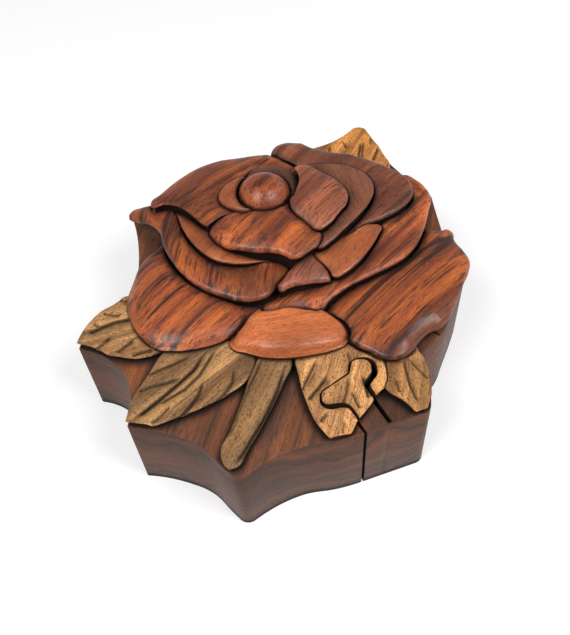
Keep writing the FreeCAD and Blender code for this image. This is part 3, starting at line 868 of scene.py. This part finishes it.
def carve_leaf(piece, node, shape):
    """Cut the veins into a leaf's top, undercut its sides and paint shade into both."""
    points = read_points(piece)
    up = smooth_share(read_points(piece, "normal")[:, 2], 0.1, 0.6)
    others = tree_of([other for other in (*PETAL_LOOKS, *LEAF_LOOKS) if other != node])
    sides = edge_field(points, *free_sides(node, others, TOUCHING), shape.edge_reach)
    open_sides = edge_field(points, *free_sides(node, others, SAW_GAP), shape.edge_reach)
    depth = np.zeros(len(points))
    painted_vein_shade = np.zeros(len(points))
    for places, share in LEAF_VEINS[LEAF_VEIN_GROUPS[node]]:
        nearest, side, reach = run_distance(points, np.array(places) * MILLIMETRE)
        taper = share * smooth_share(reach, -0.02, 0.08) * smooth_share(1.0 - reach, -0.02, 0.2)
        width = np.where(side > 0.0, shape.vein_width, shape.vein_slope)
        depth = np.maximum(depth, taper * np.exp(-nearest / width))
        # Painted shade: a dark line along each vein and shade down its sloping side
        line = np.exp(-(nearest / (1.5 * shape.vein_width)) ** 2)
        painted_shade = 0.4 * np.exp(-nearest / (0.8 * width))
        painted_vein_shade = np.maximum(painted_vein_shade, np.sqrt(taper) * np.maximum(line, painted_shade))
    points[:, 2] -= shape.vein_depth * depth * up
    # Painted shade on the leaf's free sides
    dark = painted_side_shade(sides, LEAF_SIDE_SHADE_START)
    undercut_edges(points, open_sides, shape.edge_reach, shape.leaf_undercut, LEAF_UNDERCUT_START)
    write_points(piece, points)
    keep_inside(piece, node)
    set_painted_shade(piece, np.maximum(VEIN_SHADE * painted_vein_shade * up, LEAF_SIDE_SHADE * dark))


def carve_petal(piece, node, shape):
    """Sink a petal toward higher ones, roll its soft rims, raise its folds, undercut its sides and paint
    shade on its sides and at the foot of higher petals.
    """
    points = read_points(piece)
    normals = read_points(piece, "normal")
    others = tree_of([other for other in PETAL_LOOKS if other != node])
    floor = max(vertex.co.z for vertex in frame["nodes"]["lid_board"].data.vertices)
    edge = edge_field(points, *free_sides(node, others, TOUCHING), shape.soft_reach)
    foot = blend(piece, foot_field(points, normals, others, shape.dip_reach), shape.blending)
    if node in LEVEL_PLACES:
        place, reach = LEVEL_PLACES[node]
        far = np.linalg.norm(points[:, :2] / MILLIMETRE - np.array(place), axis=1)
        foot += (shape.dip_reach - foot) * (1.0 - smooth_share(far, 0.6 * reach, reach))
    room = CARVED_SHARE * np.maximum(points[:, 2] - floor, 0.0)
    dip = shape.dip_depth * (1.0 - foot / shape.dip_reach) ** 2
    near = np.clip(1.0 - edge[0] / shape.edge_reach, 0.0, 1.0)
    soft = 1.0 - edge[0] / shape.soft_reach
    roll = shape.edge_drop * near ** 2 + soft_drop(points, node) * (1.0 - np.sqrt(1.0 - soft ** 2))
    start = SIDE_SHADE_STARTS.get(node, SIDE_SHADE_START) * MILLIMETRE
    # Painted shade on the petal's free sides
    dark = painted_side_shade(edge, start)
    undercut = UNDERCUTS.get(node, 1.0) * shape.petal_undercut
    undercut_edges(points, edge, shape.edge_reach, undercut, start)
    upper = smooth_share(normals[:, 2], -0.6, -0.1)
    points[:, 2] -= (np.minimum(dip, room) + np.minimum(roll, room)) * upper
    for places, height, width in FOLDS.get(node, []):
        away = run_distance(points, np.array(places) * MILLIMETRE)[0]
        points[:, 2] += height * MILLIMETRE * np.exp(-(away / (width * MILLIMETRE)) ** 2) * upper
    write_points(piece, points)
    sand(piece, SOFT_SANDING.get(node, PETAL_SANDING))
    keep_inside(piece, node)
    # Painted shade in the crevice and the dip at the foot of a higher petal, together with the painted
    # side shade
    crevice = smooth_share(-foot, -1.4 * MILLIMETRE, 0.0)
    painted_shade = (1.0 - foot / shape.dip_reach) ** 2
    painted_hollow_shade = np.maximum(CREVICE_SHADE * crevice, DIP_SHADE * painted_shade)
    set_painted_shade(piece, np.maximum(PETAL_SIDE_SHADE * dark, painted_hollow_shade))


def is_saw_cut(face, around):
    """Whether a face is an upright side of a narrow saw cut."""
    if abs(face.normal.z) >= SAWN_UPRIGHT:
        return False
    start = face.center + 0.3 * MILLIMETRE * face.normal
    return around.ray_cast(start, face.normal, CUT_WIDTH)[0] is not None


def is_open_rim(edge, around):
    """Whether an edge is the level rim of a wall with nothing close in front of it."""
    walls = [face for face in edge.link_faces if abs(face.normal.z) < SAWN_UPRIGHT]
    first, second = (vertex.co for vertex in edge.verts)
    if len(edge.link_faces) != 2 or len(walls) != 1 or abs(first.z - second.z) > 0.01 * MILLIMETRE:
        return False
    start = (first + second) / 2.0 + 0.1 * MILLIMETRE * walls[0].normal
    start.z += (0.5 if walls[0].calc_center_median().z > start.z else -0.5) * MILLIMETRE
    return around.ray_cast(start, walls[0].normal, CUT_WIDTH)[0] is None


def ease_edges(piece, width, around):
    """Ease the open rims of a sawn piece and paint shade on the sides of its saw cuts."""
    mesh = bmesh.new()
    mesh.from_mesh(piece.data)
    bmesh.ops.remove_doubles(mesh, verts=mesh.verts, dist=ONE_CORNER)
    bmesh.ops.dissolve_limit(mesh, angle_limit=ONE_FACE, verts=mesh.verts, edges=mesh.edges)
    rims = [edge for edge in mesh.edges if is_open_rim(edge, around)]
    bmesh.ops.bevel(mesh, geom=rims, offset=width, segments=2, profile=0.5, affect="EDGES")
    mesh.to_mesh(piece.data)
    mesh.free()
    # Painted shade: the sides of narrow saw cuts are darkened
    painted_cut_shade = [CUT_SHADE if is_saw_cut(face, around) else 0.0 for face in piece.data.polygons]
    piece.data.attributes.new("painted_recess_shade", "FLOAT", "FACE").data.foreach_set("value", painted_cut_shade)
    piece.data.polygons.foreach_set("use_smooth", [True] * len(piece.data.polygons))
    piece.data.set_sharp_from_angle(angle=SHARP_EDGE)


def close_hairline(piece, neighbour, width):
    """Bring the sides of a piece that almost touch its neighbour closer to it."""
    for vertex in piece.data.vertices:
        near = neighbour.find_nearest(vertex.co, width)[0]
        if near is not None:
            vertex.co += 0.8 * (near - vertex.co)


class ROSEBOX_OT_block(bpy.types.Operator):
    """Saw the block, its key and the boards, with eased edges and one run of grain"""

    bl_idname = "rosebox.block"
    bl_label = "Block, key and boards"

    def execute(self, context):
        wood = block_material(context.scene.rose_box_woods)
        easing = context.scene.rose_box_shape.edge_easing
        nodes = ("box_body", "key_block", "bottom_board", "lid_board", "lid_plug", "kerf_strip")
        around = tree_of(nodes)
        for node in nodes:
            piece = copy_of(node, node + "_eased")
            ease_edges(piece, easing, around)
            if node == "key_block":
                close_hairline(piece, tree_of(["box_body"]), HAIRLINE)
            finish_piece(piece, node, wood)
        return {"FINISHED"}


class ROSEBOX_OT_petals(bpy.types.Operator):
    """Shape the bud and the petals of the rose"""

    bl_idname = "rosebox.petals"
    bl_label = "Rose petals"

    def execute(self, context):
        shape = context.scene.rose_box_shape
        for seed, node in enumerate(PETAL_LOOKS, start=1):
            piece = copy_of(node, node + "_carved")
            even_mesh(piece, shape.petal_grid)
            sand(piece, shape.softening)
            carve_petal(piece, node, shape)
            finish_piece(piece, node, petal_material(context.scene.rose_box_woods, node, seed))
        return {"FINISHED"}


class ROSEBOX_OT_leaves(bpy.types.Operator):
    """Carve the leaves around the rose"""

    bl_idname = "rosebox.leaves"
    bl_label = "Leaves"

    def execute(self, context):
        shape = context.scene.rose_box_shape
        for seed, node in enumerate(LEAF_LOOKS, start=21):
            piece = copy_of(node, node + "_carved")
            even_mesh(piece, shape.leaf_grid)
            sand(piece, shape.softening)
            carve_leaf(piece, node, shape)
            finish_piece(piece, node, leaf_material(context.scene.rose_box_woods, node, seed))
        return {"FINISHED"}


class ROSEBOX_OT_felt(bpy.types.Operator):
    """Lay the felt lining into the compartment and under the lid"""

    bl_idname = "rosebox.felt"
    bl_label = "Felt lining"

    def execute(self, context):
        material = felt_material(context.scene.rose_box_woods)
        for node, carrier in FELT_CARRIERS.items():
            piece = copy_of(node, node + "_flocked")
            even_mesh(piece, context.scene.rose_box_shape.felt_grid)
            finish_piece(piece, node, material)
        return {"FINISHED"}


def make_floor(stage):
    """Pale floor that takes the shadow of the box and looks white to the camera, a gloss or a glass."""
    bpy.ops.mesh.primitive_plane_add(size=stage.floor_size, location=(0.0, 0.0, -FLOOR_GAP))
    floor = bpy.context.object
    floor.name = "floor"
    material = bpy.data.materials.new("pale_floor")
    material.use_nodes = True
    tree = material.node_tree
    tree.nodes.clear()
    path = add_node(tree, "ShaderNodeLightPath").outputs
    seen = calculate(tree, "MAXIMUM", path["Is Camera Ray"], path["Is Glossy Ray"])
    seen = calculate(tree, "MAXIMUM", seen, path["Is Transmission Ray"])
    diffuse = add_node(tree, "ShaderNodeBsdfDiffuse", {"Color": (stage.floor_white,) * 3 + (1.0,)})
    glow = add_node(tree, "ShaderNodeEmission", {
        "Color": WHITE, "Strength": calculate(tree, "MULTIPLY", seen, stage.floor_glow)})
    total = add_node(tree, "ShaderNodeAddShader", {0: diffuse.outputs[0], 1: glow.outputs[0]})
    output = add_node(tree, "ShaderNodeOutputMaterial")
    tree.links.new(total.outputs[0], output.inputs["Surface"])
    floor.data.materials.append(material)


def make_world(stage):
    """Studio with pale walls, brighter at the right, and a dimmer ceiling."""
    world = bpy.data.worlds.new("studio")
    bpy.context.scene.world = world
    world.use_nodes = True
    tree = world.node_tree
    tree.nodes.clear()
    way = add_node(tree, "ShaderNodeSeparateXYZ", {
        "Vector": add_node(tree, "ShaderNodeTexCoord").outputs["Generated"]}).outputs
    round_light = window(tree, way["X"], 0.3, 0.9, stage.wall_strength, 2.0 * stage.wall_strength)
    share = window(tree, way["Z"], 0.1, 0.6)
    above = calculate(tree, "MULTIPLY", share, stage.ceiling_strength)
    beside = calculate(tree, "MULTIPLY", calculate(tree, "SUBTRACT", 1.0, share), round_light)
    background = add_node(tree, "ShaderNodeBackground", {
        "Color": WHITE, "Strength": calculate(tree, "ADD", above, beside)})
    output = add_node(tree, "ShaderNodeOutputWorld")
    tree.links.new(background.outputs[0], output.inputs["Surface"])


def make_lamp(name, place, stage):
    """Square soft lamp that faces the rose."""
    lamp = bpy.data.lights.new(name, "AREA")
    lamp.shape = "SQUARE"
    lamp.size = stage.lamp_size
    lamp.energy = stage.lamp_power
    made = bpy.data.objects.new(name, lamp)
    bpy.context.scene.collection.objects.link(made)
    made.location = place
    way = Vector(LAMP_TARGET) - Vector(place)
    made.rotation_euler = way.to_track_quat("-Z", "Y").to_euler()


def make_camera(stage):
    """Camera at the angle of the photograph."""
    pitch, roll = stage.camera_pitch, stage.camera_roll
    forward = Vector((0.0, math.cos(pitch), -math.sin(pitch)))
    level = Vector((1.0, 0.0, 0.0))
    rise = level.cross(forward)
    right = math.cos(roll) * level + math.sin(roll) * rise
    upward = math.cos(roll) * rise - math.sin(roll) * level
    lens = bpy.data.cameras.new("photo_camera")
    lens.lens = stage.camera_lens
    lens.clip_start = VIEW_START
    camera = bpy.data.objects.new("photo_camera", lens)
    bpy.context.scene.collection.objects.link(camera)
    turn = Matrix((right, upward, -forward)).transposed()
    camera.matrix_world = Matrix.Translation(Vector(stage.camera_place)) @ turn.to_4x4()
    bpy.context.scene.camera = camera


class ROSEBOX_OT_stage(bpy.types.Operator):
    """Set the floor, the lamps and the camera"""

    bl_idname = "rosebox.stage"
    bl_label = "Stage"

    def execute(self, context):
        stage = context.scene.rose_box_stage
        make_floor(stage)
        make_world(stage)
        make_lamp("left_lamp", stage.left_lamp, stage)
        make_lamp("right_lamp", stage.right_lamp, stage)
        make_camera(stage)
        context.scene.view_settings.view_transform = "Standard"
        return {"FINISHED"}


class ROSEBOX_PT_panel(bpy.types.Panel):
    """Steps and settings of the rose box"""

    bl_idname = "ROSEBOX_PT_panel"
    bl_label = "Rose Box"
    bl_space_type = "VIEW_3D"
    bl_region_type = "UI"
    bl_category = "Rose Box"

    def draw(self, context):
        for operator in OPERATORS:
            self.layout.operator(operator.bl_idname)
        for holder, group in SETTINGS.items():
            for name in group.__annotations__:
                self.layout.prop(getattr(context.scene, holder), name)


OPERATORS = (ROSEBOX_OT_block, ROSEBOX_OT_petals, ROSEBOX_OT_leaves, ROSEBOX_OT_felt, ROSEBOX_OT_stage)
SETTINGS = {
    "rose_box_woods": RoseBoxWoods,
    "rose_box_shape": RoseBoxShape,
    "rose_box_stage": RoseBoxStage,
}


def register():
    """Make the settings, the steps and their panel known."""
    for group in SETTINGS.values():
        bpy.utils.register_class(group)
    for holder, group in SETTINGS.items():
        setattr(bpy.types.Scene, holder, PointerProperty(type=group))
    for kind in (*OPERATORS, ROSEBOX_PT_panel):
        bpy.utils.register_class(kind)


def unregister():
    """Take the panel, the steps and the settings away again."""
    for kind in reversed((*OPERATORS, ROSEBOX_PT_panel)):
        bpy.utils.unregister_class(kind)
    for holder, group in SETTINGS.items():
        delattr(bpy.types.Scene, holder)
        bpy.utils.unregister_class(group)


def main():
    """Make the whole box and its stage."""
    register()
    bpy.ops.rosebox.block()
    bpy.ops.rosebox.petals()
    bpy.ops.rosebox.leaves()
    bpy.ops.rosebox.felt()
    bpy.ops.rosebox.stage()


if __name__ == "__main__":
    main()
